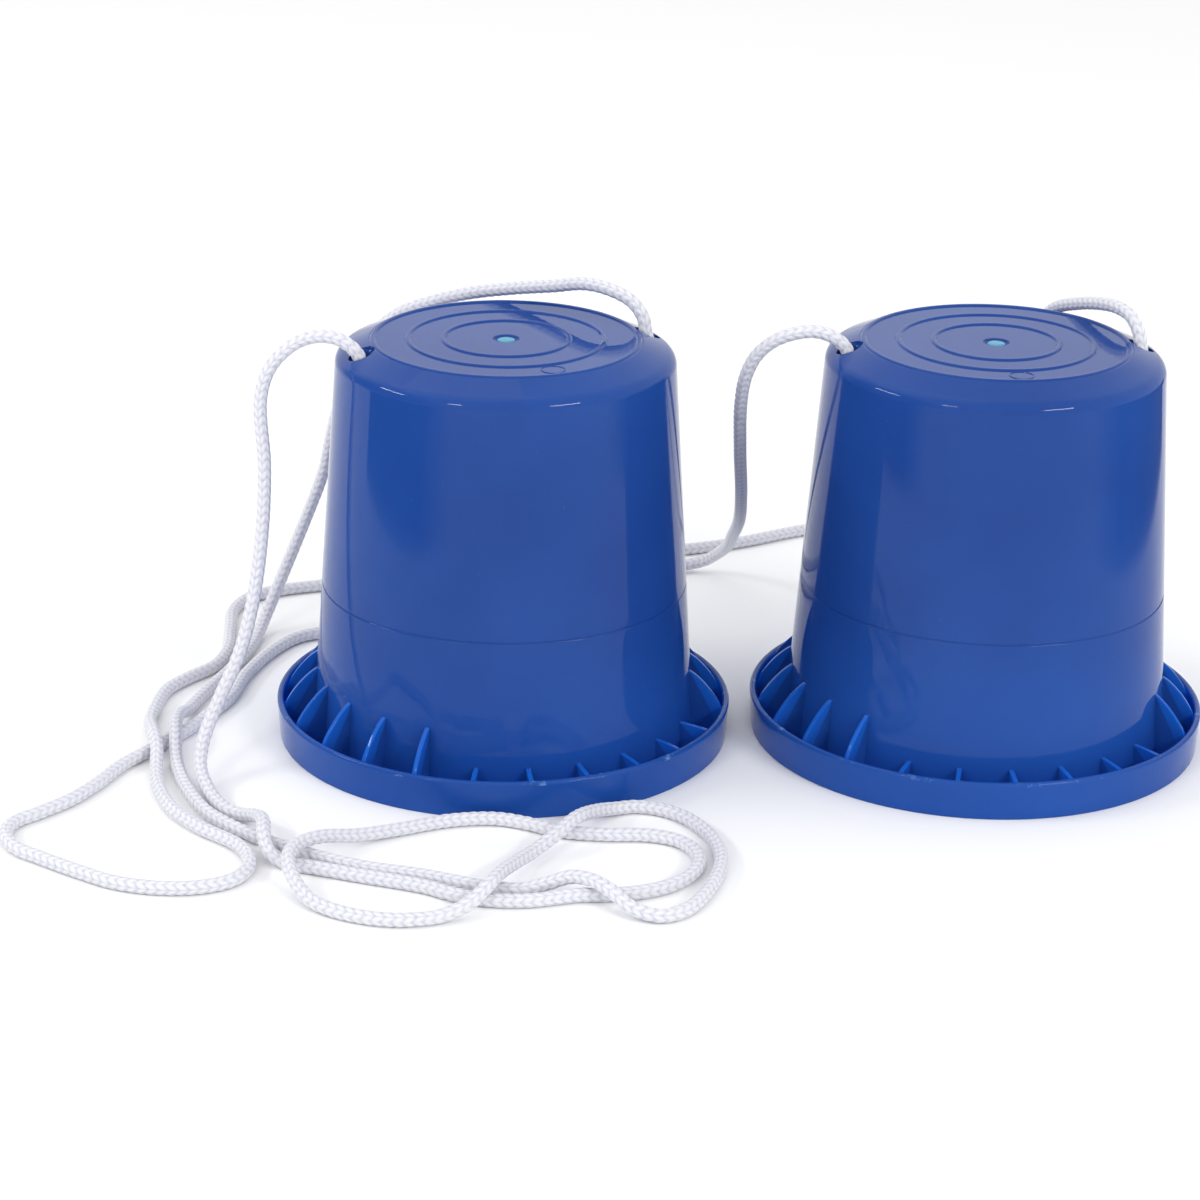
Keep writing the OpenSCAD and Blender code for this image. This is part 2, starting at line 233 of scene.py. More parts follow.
def smoothLine(points, step, floorZ=None, samples=24):
    p = np.array(points, float)
    p = np.vstack([2 * p[0] - p[1], p, 2 * p[-1] - p[-2]])
    out = []
    for i in range(1, len(p) - 2):
        p0, p1, p2, p3 = p[i - 1], p[i], p[i + 1], p[i + 2]
        t0 = 0.0
        t1 = t0 + math.sqrt(np.linalg.norm(p1 - p0))
        t2 = t1 + math.sqrt(np.linalg.norm(p2 - p1))
        t3 = t2 + math.sqrt(np.linalg.norm(p3 - p2))
        for t in np.linspace(t1, t2, samples, endpoint=False):
            a1 = (t1 - t) / (t1 - t0) * p0 + (t - t0) / (t1 - t0) * p1
            a2 = (t2 - t) / (t2 - t1) * p1 + (t - t1) / (t2 - t1) * p2
            a3 = (t3 - t) / (t3 - t2) * p2 + (t - t2) / (t3 - t2) * p3
            b1 = (t2 - t) / (t2 - t0) * a1 + (t - t0) / (t2 - t0) * a2
            b2 = (t3 - t) / (t3 - t1) * a2 + (t - t1) / (t3 - t1) * a3
            out.append((t2 - t) / (t2 - t1) * b1 + (t - t1) / (t2 - t1) * b2)
    out.append(p[-2])
    line = np.array(out)
    if floorZ is not None:
        line[:, 2] = np.maximum(line[:, 2], floorZ)
    along = np.concatenate([[0], np.cumsum(np.linalg.norm(np.diff(line, axis=0), axis=1))])
    count = max(4, int(round(along[-1] / step)) + 1)
    even = np.linspace(0, along[-1], count)
    return np.column_stack([np.interp(even, along, line[:, k]) for k in range(3)])


# Braided tube: plait columns that lean by turns left and right, so that they read as rows of V

braid = {
    "radius": 1.8,
    "rise": 0.42,
    "sides": 36,
    "step": 0.55,
    "columns": 8,
    "stitch": 2.9,
    "slant": 0.6,
    "lengthwise": 0.55,
    "crosswise": 0.45,
    "columnEdge": 2.5,
    "lowest": 2.17,
    "lieZ": 2.2,
    "routeZ": 2.6,
    "humpZ": 9.0,
    "humpShare": 0.84,
}


def braidHeight(along, angle):
    column = angle / (2 * math.pi) * braid["columns"]
    index = np.floor(column + 1e-9)
    across = column - index
    lean = np.where(index % 2 == 0, 1.0, -1.0)
    phase = along / braid["stitch"] + lean * (across - 0.5) * braid["slant"]
    phase = phase - np.floor(phase)
    lengthwise = np.sqrt(np.clip(1 - (2 * phase - 1) ** 2, 0, 1))
    crosswise = 1 - np.abs(2 * across - 1) ** braid["columnEdge"]
    return braid["lengthwise"] * lengthwise + braid["crosswise"] * crosswise * lengthwise


def braidTube(name, centres):
    p = np.array(centres, float)
    tangent = np.gradient(p, axis=0)
    tangent /= np.linalg.norm(tangent, axis=1)[:, None]
    side = np.zeros_like(p)
    first = np.array([1.0, 0, 0]) if abs(tangent[0][0]) < 0.9 else np.array([0, 1.0, 0])
    # One side direction is carried along the line, so that the braid doesn't twist
    for i in range(len(p)):
        first = first - tangent[i] * (first @ tangent[i])
        first /= np.linalg.norm(first)
        side[i] = first
    other = np.cross(tangent, side)
    along = np.concatenate([[0], np.cumsum(np.linalg.norm(np.diff(p, axis=0), axis=1))])
    n = braid["sides"]
    angle = np.arange(n) * 2 * math.pi / n
    height = braidHeight(along[:, None], angle[None, :])
    radius = braid["radius"] + braid["rise"] * height
    points = (p[:, None, :] + radius[:, :, None] * (np.cos(angle)[None, :, None] * side[:, None, :]
              + np.sin(angle)[None, :, None] * other[:, None, :])).reshape(-1, 3) * mm
    rings = len(p)
    i = np.arange(rings - 1)[:, None] * n
    k = np.arange(n)[None, :]
    nextK = (k + 1) % n
    quads = np.stack([i + k, i + nextK, i + n + nextK, i + n + k], axis=-1).reshape(-1, 4)
    faces = quads.tolist()
    faces.append(list(range(n))[::-1])
    faces.append(list(range((rings - 1) * n, rings * n)))
    mesh = meshFrom(name, points, faces)
    # How deep the braid's groove is at each point, which the rope material turns into painted shade
    groove = mesh.attributes.new("groove", "FLOAT", "POINT")
    groove.data.foreach_set("value", (1 - height).astype(np.float32).ravel())
    uv = mesh.uv_layers.new(name="ropeUV")
    loopPoint = np.zeros(len(mesh.loops), np.int32)
    mesh.loops.foreach_get("vertex_index", loopPoint)
    coords = np.column_stack([along[loopPoint // n] * mm, (loopPoint % n) / n])
    uv.data.foreach_set("uv", coords.astype(np.float32).ravel())
    mesh.shade_smooth()
    return link(bpy.data.objects.new(name, mesh))


ropeLook = {
    "crest": (0.74, 0.74, 0.77, 1),
    # Painted shade: the darker, bluish grey painted into the braid's grooves
    "valleyShade": (0.44, 0.45, 0.58, 1),
    "soil": (0.7, 0.69, 0.7, 1),
    "roughness": 0.82,
    "roughSpread": 0.08,
    "patchScale": 38.0,
    "fibreScale": 2600.0,
    "fibreBump": 0.25,
    "fibreDepth": 0.0002,
    "scatter": 0.12,
    "scatterReach": (0.002, 0.002, 0.0025),
    "sheen": 0.15,
    "gloss": 0.3,
}


def ropeMaterial(s):
    mat, nodes, links, shader = newMaterial("ropeCotton")
    groove = addNode(nodes, "ShaderNodeAttribute", attribute_name="groove")
    place = nodes.new("ShaderNodeTexCoord")
    patches = addNode(nodes, "ShaderNodeTexNoise", Scale=s["patchScale"], Detail=3.0)
    fibres = addNode(nodes, "ShaderNodeTexNoise", Scale=s["fibreScale"], Detail=2.0)
    links.new(place.outputs["Object"], patches.inputs["Vector"])
    links.new(place.outputs["Object"], fibres.inputs["Vector"])
    # Painted shade: the deeper the groove of the braid, the darker and bluer the painted colour, for the shade
    # that falls in it
    grooveShade = mapRange(nodes, links, groove.outputs["Fac"], 0.15, 0.95, 0.0, 1.0)
    plait = mixColour(nodes, links, grooveShade, s["crest"], s["valleyShade"])
    soil = mapRange(nodes, links, patches.outputs["Fac"], 0.52, 0.8, 0.0, 0.35)
    links.new(mixColour(nodes, links, soil, plait, s["soil"]), shader.inputs["Base Color"])
    low, high = s["roughness"] - s["roughSpread"], s["roughness"] + s["roughSpread"]
    rough = mapRange(nodes, links, fibres.outputs["Fac"], 0.3, 0.7, low, high)
    links.new(rough, shader.inputs["Roughness"])
    bump = addNode(nodes, "ShaderNodeBump", Strength=s["fibreBump"], Distance=s["fibreDepth"])
    links.new(fibres.outputs["Fac"], bump.inputs["Height"])
    links.new(bump.outputs["Normal"], shader.inputs["Normal"])
    shader.inputs["Subsurface Weight"].default_value = s["scatter"]
    shader.inputs["Subsurface Radius"].default_value = s["scatterReach"]
    shader.inputs["Sheen Weight"].default_value = s["sheen"]
    shader.inputs["Specular IOR Level"].default_value = s["gloss"]
    return mat


ropeMat = ropeMaterial(ropeLook)


# The two ropes, from hole to hole

def settled(point):
    # Crossings near the floor sink until the ropes lie on one another
    x, y, z = point
    share = 1 if z > braid["humpZ"] else braid["humpShare"]
    return (x, y, braid["lieZ"] + (z - braid["routeZ"]) * share)


def makeRope(which):
    stilt = stilts[which]
    route = throughHole(stilt, -1)
    route += [settled(point) for point in ropeRoutes[which]]
    route += throughHole(stilt, 1)[::-1]
    centres = smoothLine(route, braid["step"], braid["lowest"])
    obj = braidTube(which + "RopeBraid", centres)
    obj.data.materials.append(ropeMat)
    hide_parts(which + "_rope")
    return obj, centres


ropes = {which: makeRope(which) for which in stilts}
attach(ropes["left"][0], "left_stilt")
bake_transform(ropes["right"][0])
print("stage: ropes")


# Rope ends above the knots, and the knots with their tails

knotSet = {
    "length": 14.0,
    "inset": 3.2,
    "tail": 12.0,
    "spread": 1.28,
    "rise": 2.7,
    "weave": 0.55,
    "leadIn": 1.4,
    "leadOut": 1.2,
    "gap": 0.35,
    "turns": 48,
    "squashKeep": 0.05,
}


def makeRopeEnd(which, side):
    stilt = stilts[which]
    place = which + "_" + sideNames[side]
    top = holeAt(stilt, side, holeSet["mouthZ"], -holeSet["lean"])
    low = holeAt(stilt, side, holeSet["knotZ"], -holeSet["lean"])
    obj = braidTube(place + "RopeEndBraid", smoothLine([top, low], braid["step"]))
    obj.data.materials.append(ropeMat)
    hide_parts(place + "_rope_end")
    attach(obj, which + "_stilt")
    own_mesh(obj)
    return obj


def makeKnot(which, side):
    s = knotSet
    stilt = stilts[which]
    place = which + "_" + sideNames[side]
    turn = math.radians(stilt["turn"])
    inward = np.array([-side * math.cos(turn), -side * math.sin(turn), 0])
    across = np.array([-inward[1], inward[0], 0])
    top = np.array(holeAt(stilt, side, holeSet["knotZ"], -holeSet["lean"]))
    middle = top + inward * s["inset"] - np.array([0, 0, s["length"] / 2])
    points = [top, top - np.array([0, 0, s["leadIn"]])]
    # An overhand knot: the line of a trefoil, cut open where the rope enters and leaves
    for t in np.linspace(s["gap"], 2 * math.pi - s["gap"], s["turns"]):
        x = math.sin(t) + 2 * math.sin(2 * t)
        y = math.cos(t) - 2 * math.cos(2 * t)
        share = (t - math.pi) / math.pi
        z = s["rise"] * -math.sin(3 * t) * s["weave"] - share * s["rise"]
        points.append(middle + s["spread"] * (inward * y + across * x) + np.array([0, 0, z]))
    points.append(top - np.array([0, 0, s["length"] - s["leadOut"]]))
    points.append(top - np.array([0, 0, s["length"] + s["tail"]]))
    obj = braidTube(place + "KnotBraid", smoothLine(points, braid["step"], samples=8))
    obj.data.materials.append(ropeMat)
    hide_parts(place + "_knot")
    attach(obj, place + "_knot")
    return obj


onRope = {which: [] for which in stilts}
for which in stilts:
    for side in sideNames:
        onRope[which].append(makeRopeEnd(which, side))
        onRope[which].append(makeKnot(which, side))
print("stage: knots")


# The pots: one turned section each, with ribs, rope holes and mould marks

potSet = {
    "height": 133.4,
    "footR": 62.9,
    "taper": 0.068216,
    "wall": 2.5,
    "plate": 3.0,
    "faceR": 43.5,
    "shoulderDrop": 4.6,
    "shoulderR": 4.5,
    "nubR": 2.9,
    "rings": (20.0, 31.1, 42.2),
    "ringHalf": 1.0,
    "ringRise": 0.5,
    "partingZ": 52.8,
    "flangeR": 74.5,
    "rimDraft": 0.8,
    "rimWall": 2.2,
    "rimH": 12.6,
    "rimEdge": 1.3,
    "webT": 2.5,
    "segments": 192,
    "ribs": 24,
    "shortRibs": 6,
    "ribT": 1.6,
    "ribTallZ": 23.6,
    "ribShortZ": 12.0,
    "ribEndZ": 10.6,
    "ribLine": 1.6,
    "ribLowZ": 1.4,
    "ribInWall": 1.2,
    "ribInRim": 1.0,
    "ribEdge": 0.35,
    "markR": 36.7,
    "markSize": 3.75,
    "markRise": 0.22,
    "sharpAngle": 32,
}


def bodyR(z):
    return potSet["footR"] - z * potSet["taper"]


def roundCorner(a, v, b, r, steps=8):
    a, v, b = (np.array(q, float) for q in (a, v, b))
    u = (a - v) / np.linalg.norm(a - v)
    w = (b - v) / np.linalg.norm(b - v)
    half = math.acos(max(-1, min(1, float(u @ w)))) / 2
    bisector = (u + w) / np.linalg.norm(u + w)
    mid = v + bisector * r / math.sin(half)
    start = v + u * r / math.tan(half) - mid
    end = v + w * r / math.tan(half) - mid
    a0 = math.atan2(start[1], start[0])
    sweep = math.atan2(end[1], end[0]) - a0
    sweep = (sweep + math.pi) % (2 * math.pi) - math.pi
    return [tuple(mid + r * np.array([math.cos(a0 + sweep * i / steps), math.sin(a0 + sweep * i / steps)]))
            for i in range(steps + 1)]


def potSection():
    s = potSet
    h = s["height"]
    nub = s["nubR"]
    # The dimple with its nub, then the grip rings
    pts = [(0, h - 0.22), (nub - 0.8, h - 0.24), (nub - 0.27, h - 0.34), (nub - 0.04, h - 0.55), (nub, h - 0.9)]
    pts += [(3.4, h - 0.9), (3.7, h - 0.82), (4.05, h - 0.45), (4.25, h - 0.12), (4.55, h)]
    for ring in s["rings"]:
        for share in np.linspace(-1, 1, 11):
            swell = min(1.0, 1.5 * math.cos(share * math.pi / 2))
            pts.append((ring + share * s["ringHalf"], h + s["ringRise"] * swell))
    # The shoulder, then the step line round the wall
    cornerZ = h - s["shoulderDrop"]
    corner = (bodyR(cornerZ), cornerZ)
    faceEdge = roundCorner((s["faceR"] - 0.3, h), (s["faceR"] + 0.1, h), corner, 0.35, 3)
    shoulder = roundCorner((s["faceR"], h), corner, (bodyR(0), 0), s["shoulderR"], 14)
    pts += faceEdge
    for share in np.linspace(0, 1, 11)[1:-1]:
        pts.append(tuple((1 - share) * np.array(faceEdge[-1]) + share * np.array(shoulder[0])))
    pts += shoulder
    pz = s["partingZ"]
    for dz, dip in ((0.6, 0), (0.3, 0.1), (0.12, 0.32), (-0.12, 0.32), (-0.3, 0.1), (-0.6, 0)):
        pts.append((bodyR(pz + dz) - dip, pz + dz))
    # The gutter, the upstand round it and the foot
    rimIn = s["flangeR"] - s["rimWall"]
    pts += roundCorner((bodyR(30), 30), (bodyR(s["webT"]), s["webT"]), (rimIn, s["webT"]), 1.0, 5)
    pts += roundCorner((bodyR(s["webT"]), s["webT"]), (rimIn, s["webT"]), (rimIn, s["rimH"]), 1.0, 5)
    edgeZ = s["rimH"] - s["rimEdge"]
    pts += [(rimIn, edgeZ - 0.4), (rimIn, edgeZ)]
    pts += roundCorner((rimIn, s["webT"]), (rimIn, s["rimH"]), (s["flangeR"], s["rimH"]), 1.0, 6)
    footOut = (s["flangeR"] - s["rimDraft"], 0)
    pts += roundCorner((rimIn, s["rimH"]), (s["flangeR"], s["rimH"]), footOut, 1.0, 6)
    for z in (edgeZ, edgeZ - 0.4):
        pts.append((s["flangeR"] - s["rimDraft"] * (1 - z / s["rimH"]), z))
    pts += roundCorner((s["flangeR"], s["rimH"]), footOut, (bodyR(0), 0), 0.5, 4)
    # The inside, up to the underside of the standing face
    innerFoot = (bodyR(0) - s["wall"], 0)
    innerTop = (corner[0] - s["wall"], cornerZ - s["plate"])
    pts += roundCorner(footOut, innerFoot, innerTop, 0.5, 4)
    ceiling = (s["faceR"], h - s["plate"])
    inside = roundCorner(innerFoot, innerTop, ceiling, 3.2, 10)
    pts += inside
    for share in np.linspace(0, 1, 9)[1:-1]:
        pts.append(tuple((1 - share) * np.array(inside[-1]) + share * np.array(ceiling)))
    pts += [ceiling, (s["faceR"] - 1.5, h - s["plate"]), (0, h - s["plate"])]
    return pts


def spinAll(bm, segments):
    bmesh.ops.spin(bm, geom=bm.verts[:] + bm.edges[:], cent=(0, 0, 0), axis=(0, 0, 1), angle=2 * math.pi,
                   steps=segments, use_merge=True)
    bmesh.ops.remove_doubles(bm, verts=bm.verts, dist=0.0005)
    bmesh.ops.recalc_face_normals(bm, faces=bm.faces)


def spinSection(section, segments):
    bm = bmesh.new()
    verts = [bm.verts.new((r, 0, z)) for r, z in section]
    for pair in zip(verts, verts[1:]):
        bm.edges.new(pair)
    spinAll(bm, segments)
    return bm


def ribParts(apexZ, angle):
    s = potSet
    rimIn = s["flangeR"] - s["rimWall"]
    start = bodyR(apexZ)
    outline = [(bodyR(s["webT"]) - s["ribInWall"], s["ribLowZ"]), (start - s["ribInWall"], apexZ)]
    for a in np.linspace(0, math.pi / 2, 13):
        along, up = (max(0.0, v) ** s["ribLine"] for v in (math.sin(a), math.cos(a)))
        outline.append((start + (rimIn - start) * along, s["ribEndZ"] + (apexZ - s["ribEndZ"]) * up))
    outline += [(rimIn + s["ribInRim"], s["ribEndZ"]), (rimIn + s["ribInRim"], s["ribLowZ"])]
    bm = bmesh.new()
    flat = [bm.verts.new((r, -s["ribT"] / 2, z)) for r, z in outline]
    face = bm.faces.new(flat)
    moved = bmesh.ops.extrude_face_region(bm, geom=[face])
    verts = [v for v in moved["geom"] if isinstance(v, bmesh.types.BMVert)]
    bmesh.ops.translate(bm, vec=(0, s["ribT"], 0), verts=verts)
    edges = [e for e in bm.edges if abs(e.verts[0].co.y - e.verts[1].co.y) < 1e-6]
    bmesh.ops.bevel(bm, geom=edges, offset=s["ribEdge"], segments=2, profile=0.5, affect="EDGES", material=-1)
    bmesh.ops.rotate(bm, cent=(0, 0, 0), matrix=Matrix.Rotation(angle, 3, "Z"), verts=bm.verts)
    bmesh.ops.recalc_face_normals(bm, faces=bm.faces)
    return bm


def markRing(angle):
    s = potSet
    bm = bmesh.new()
    bmesh.ops.create_circle(bm, segments=8, radius=s["markRise"])
    bmesh.ops.rotate(bm, cent=(0, 0, 0), matrix=Matrix.Rotation(math.pi / 2, 3, "X"), verts=bm.verts)
    bmesh.ops.translate(bm, vec=(s["markSize"], 0, s["height"]), verts=bm.verts)
    spinAll(bm, 40)
    bmesh.ops.translate(bm, vec=(s["markR"] * math.cos(angle), s["markR"] * math.sin(angle), 0), verts=bm.verts)
    return bm


potLook = {
    "deep": (0.0105, 0.0475, 0.236, 1),
    "light": (0.015, 0.0655, 0.288, 1),
    # Painted light: the bright blue painted where light shines through thin plastic
    "thinGlow": (0.005, 0.2, 0.95, 1),
    "scuff": (0.1, 0.18, 0.42, 1),
    "rubbed": (0.16, 0.32, 0.6, 1),
    "roughness": 0.012,
    "smoother": 0.006,
    "rougher": 0.02,
    "cloudScale": 14.0,
    "peelScale": 420.0,
    "speckScale": 900.0,
    "hazeScale": 60.0,
    "nickScale": 130.0,
    "peelBump": 0.015,
    "peelDepth": 0.0004,
    "scatter": 0.18,
    "scatterReach": (0.001, 0.003, 0.006),
    "ior": 1.49,
    "gloss": 0.18,
    # How much painted light each thin place gets, and where it fades out
    "outerGlow": 0.1,
    "ribGlow": 0.35,
    "glowTopZ": 26,
    "glowFadeZ": 18,
    "glowFromR": 56,
    "glowFadeR": 6,
    "gutterGlowZ": 3.6,
    "rubbedFromR": 71.8,
}


def potMaterial(s):
    mat, nodes, links, shader = newMaterial("potBlue")
    place = nodes.new("ShaderNodeTexCoord")
    clouds = addNode(nodes, "ShaderNodeTexNoise", Scale=s["cloudScale"], Detail=3.0)
    peel = addNode(nodes, "ShaderNodeTexNoise", Scale=s["peelScale"], Detail=2.0)
    specks = addNode(nodes, "ShaderNodeTexNoise", Scale=s["speckScale"], Detail=2.0)
    haze = addNode(nodes, "ShaderNodeTexNoise", Scale=s["hazeScale"], Detail=4.0)
    thinGlow = addNode(nodes, "ShaderNodeAttribute", attribute_name="thinGlow")
    for node in (clouds, peel, specks, haze):
        links.new(place.outputs["Object"], node.inputs["Vector"])
    cloud = mapRange(nodes, links, clouds.outputs["Fac"], 0.3, 0.7, 0.0, 1.0)
    tone = mixColour(nodes, links, cloud, s["deep"], s["light"])
    # Painted light: the bright blue is mixed in at the thin places
    tone = mixColour(nodes, links, thinGlow.outputs["Fac"], tone, s["thinGlow"])
    worn = mapRange(nodes, links, specks.outputs["Fac"], 0.74, 0.82, 0.0, 0.35)
    tone = mixColour(nodes, links, worn, tone, s["scuff"])
    nicks = addNode(nodes, "ShaderNodeTexNoise", Scale=s["nickScale"], Detail=5.0, Roughness=0.7)
    edge = addNode(nodes, "ShaderNodeAttribute", attribute_name="edge")
    links.new(place.outputs["Object"], nicks.inputs["Vector"])
    rubbed = nodes.new("ShaderNodeMath")
    rubbed.operation = "MULTIPLY"
    links.new(mapRange(nodes, links, nicks.outputs["Fac"], 0.59, 0.67, 0.0, 0.6), rubbed.inputs[0])
    links.new(edge.outputs["Fac"], rubbed.inputs[1])
    tone = mixColour(nodes, links, rubbed.outputs[0], tone, s["rubbed"])
    links.new(tone, shader.inputs["Base Color"])
    low, high = s["roughness"] - s["smoother"], s["roughness"] + s["rougher"]
    rough = mapRange(nodes, links, haze.outputs["Fac"], 0.35, 0.75, low, high)
    links.new(rough, shader.inputs["Roughness"])
    bump = addNode(nodes, "ShaderNodeBump", Strength=s["peelBump"], Distance=s["peelDepth"])
    links.new(peel.outputs["Fac"], bump.inputs["Height"])
    links.new(bump.outputs["Normal"], shader.inputs["Normal"])
    shader.inputs["Subsurface Weight"].default_value = s["scatter"]
    shader.inputs["Subsurface Radius"].default_value = s["scatterReach"]
    shader.inputs["IOR"].default_value = s["ior"]
    shader.inputs["Specular IOR Level"].default_value = s["gloss"]
    return mat


nubLook = {
    # Painted light: the nub is painted a pale, bright cyan for the light that it catches
    "tone": (0.04, 0.26, 0.4, 1),
    "paler": 1.3,
    "grainScale": 700.0,
    "roughness": 0.25,
    "scatter": 0.3,
    "scatterReach": (0.001, 0.002, 0.003),
}


def nubMaterial(s):
    mat, nodes, links, shader = newMaterial("nubLitCyan")
    place = nodes.new("ShaderNodeTexCoord")
    grain = addNode(nodes, "ShaderNodeTexNoise", Scale=s["grainScale"], Detail=2.0)
    links.new(place.outputs["Object"], grain.inputs["Vector"])
    pale = tuple(min(1.0, v * s["paler"]) for v in s["tone"][:3]) + (1,)
    links.new(mixColour(nodes, links, grain.outputs["Fac"], s["tone"], pale), shader.inputs["Base Color"])
    shader.inputs["Roughness"].default_value = s["roughness"]
    shader.inputs["Subsurface Weight"].default_value = s["scatter"]
    shader.inputs["Subsurface Radius"].default_value = s["scatterReach"]
    return mat


potMat = potMaterial(potLook)
nubMat = nubMaterial(nubLook)


def holeCutter():
    r = holeSet["size"] / 2
    low, high = holeSet["cutZ"]
    # The hole flares at its upper edge
    section = [(0, low), (r, low), (r, 130.2), (r + 0.08, 130.9), (r + 0.3, 131.5), (r + 0.75, 132.1)]
    section += [(r + 0.75, high), (0, high)]
    bm = spinSection(section, 48)
    bmesh.ops.translate(bm, vec=(holeSet["radius"], 0, 0), verts=bm.verts)
    twin = bmesh.ops.duplicate(bm, geom=bm.verts[:] + bm.edges[:] + bm.faces[:])
    twinVerts = [v for v in twin["geom"] if isinstance(v, bmesh.types.BMVert)]
    bmesh.ops.translate(bm, vec=(-2 * holeSet["radius"], 0, 0), verts=twinVerts)
    bmesh.ops.scale(bm, vec=(mm, mm, mm), verts=bm.verts)
    return link(bpy.data.objects.new("holeCutter", meshOf("holeCutter", bm)))


def addTo(bm, extra):
    bmesh.ops.scale(extra, vec=(mm, mm, mm), verts=extra.verts)
    mesh = meshOf("extra", extra)
    bm.from_mesh(mesh)
    bpy.data.meshes.remove(mesh)


def makePotMesh(stilt):
    s = potSet
    turned = spinSection(potSection(), s["segments"])
    bmesh.ops.scale(turned, vec=(mm, mm, mm), verts=turned.verts)
    body = link(bpy.data.objects.new("potTurned", meshOf("potTurned", turned)))
    cutter = holeCutter()
    cut = body.modifiers.new("holes", "BOOLEAN")
    cut.operation = "DIFFERENCE"
    cut.solver = "EXACT"
    cut.object = cutter
    bpy.context.view_layer.update()
    drilled = bpy.data.meshes.new_from_object(body.evaluated_get(bpy.context.evaluated_depsgraph_get()))
    bpy.data.objects.remove(body)
    bpy.data.objects.remove(cutter)
    bm = bmesh.new()
    bm.from_mesh(drilled)
    for i in range(s["ribs"]):
        offset = i + 0.5 - s["ribs"] / 2
        apex = s["ribShortZ"] if abs(offset) < s["shortRibs"] / 2 else s["ribTallZ"]
        addTo(bm, ribParts(apex, math.radians(stilt["ribTurn"] + offset * 360 / s["ribs"])))
    addTo(bm, markRing(math.radians(stilt["markTurn"])))
    return meshOf("potBody", bm)


def markGlowAndWear(mesh):
    co = np.zeros(len(mesh.vertices) * 3, np.float32)
    mesh.vertices.foreach_get("co", co)
    co = co.reshape(-1, 3)
    radius = np.hypot(co[:, 0], co[:, 1]) / mm
    height = co[:, 2] / mm
    s = potLook
    # Painted light: where the plastic is thin, a brighter blue is painted for light shining through it, which
    # also lifts the shade in the gutter: a little low on the wall, more in the ribs, most in the gutter
    rimIn = potSet["flangeR"] - potSet["rimWall"]
    thinGlow = s["outerGlow"] * np.clip((s["glowTopZ"] - height) / s["glowFadeZ"], 0, 1)
    thinGlow = thinGlow * np.clip((radius - s["glowFromR"]) / s["glowFadeR"], 0, 1)
    inGutter = (radius > bodyR(height) + 0.15) & (radius < rimIn + 0.2)
    thinGlow[inGutter & (height > 0.6) & (height < potSet["ribTallZ"] + 0.2)] = s["ribGlow"]
    gutterGlow = (height < s["gutterGlowZ"]) | (radius > rimIn - 0.3)
    thinGlow[inGutter & gutterGlow & (height > 0.6)] = 1
    rimTop = (radius > s["rubbedFromR"]) & (height > potSet["rimH"] - potSet["rimEdge"] + 0.1)
    for name, share in (("thinGlow", thinGlow), ("edge", rimTop)):
        attribute = mesh.attributes.new(name, "FLOAT", "POINT")
        attribute.data.foreach_set("value", share.astype(np.float32))


def makePot(which):
    stilt = stilts[which]
    mesh = makePotMesh(stilt)
    mesh.name = which + "PotMesh"
    markGlowAndWear(mesh)
    mesh.materials.append(potMat)
    mesh.materials.append(nubMat)
    for poly in mesh.polygons:
        c = poly.center
        onNub = math.hypot(c[0], c[1]) < (potSet["nubR"] + 0.01) * mm and c[2] > (potSet["height"] - 0.95) * mm
        poly.material_index = 1 if onNub else 0
    mesh.shade_smooth()
    mesh.set_sharp_from_angle(angle=math.radians(potSet["sharpAngle"]))
    turn = Matrix.Rotation(math.radians(stilt["turn"]), 4, "Z")
    mesh.transform(Matrix.Translation((stilt["at"][0] * mm, stilt["at"][1] * mm, 0)) @ turn)
    obj = link(bpy.data.objects.new(which + "PotBody", mesh))
    even = obj.modifiers.new("evenNormals", "WEIGHTED_NORMAL")
    even.keep_sharp = True
    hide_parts(which + "_pot")
    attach(obj, which + "_stilt")


for which in stilts:
    makePot(which)
print("stage: pots")


# Pale floor, soft light and a white surround

stageSet = {
    "floorSize": 24.0,
    "floor": (0.93, 0.93, 0.935, 1),
    "floorRough": 0.9,
    "floorGloss": 0.1,
    "ambient": 0.93,
    "seen": 1.0,
    "darkest": 0.2,
    "darkSide": (-0.84, -0.62),
}


def makeFloor(s):
    bm = bmesh.new()
    bmesh.ops.create_grid(bm, x_segments=1, y_segments=1, size=s["floorSize"] / 2)
    mesh = meshOf("floor", bm)
    floor = link(bpy.data.objects.new("floor", mesh))
    mat, _, _, shader = newMaterial("floorPale")
    shader.inputs["Base Color"].default_value = s["floor"]
    shader.inputs["Roughness"].default_value = s["floorRough"]
    shader.inputs["Specular IOR Level"].default_value = s["floorGloss"]
    mesh.materials.append(mat)


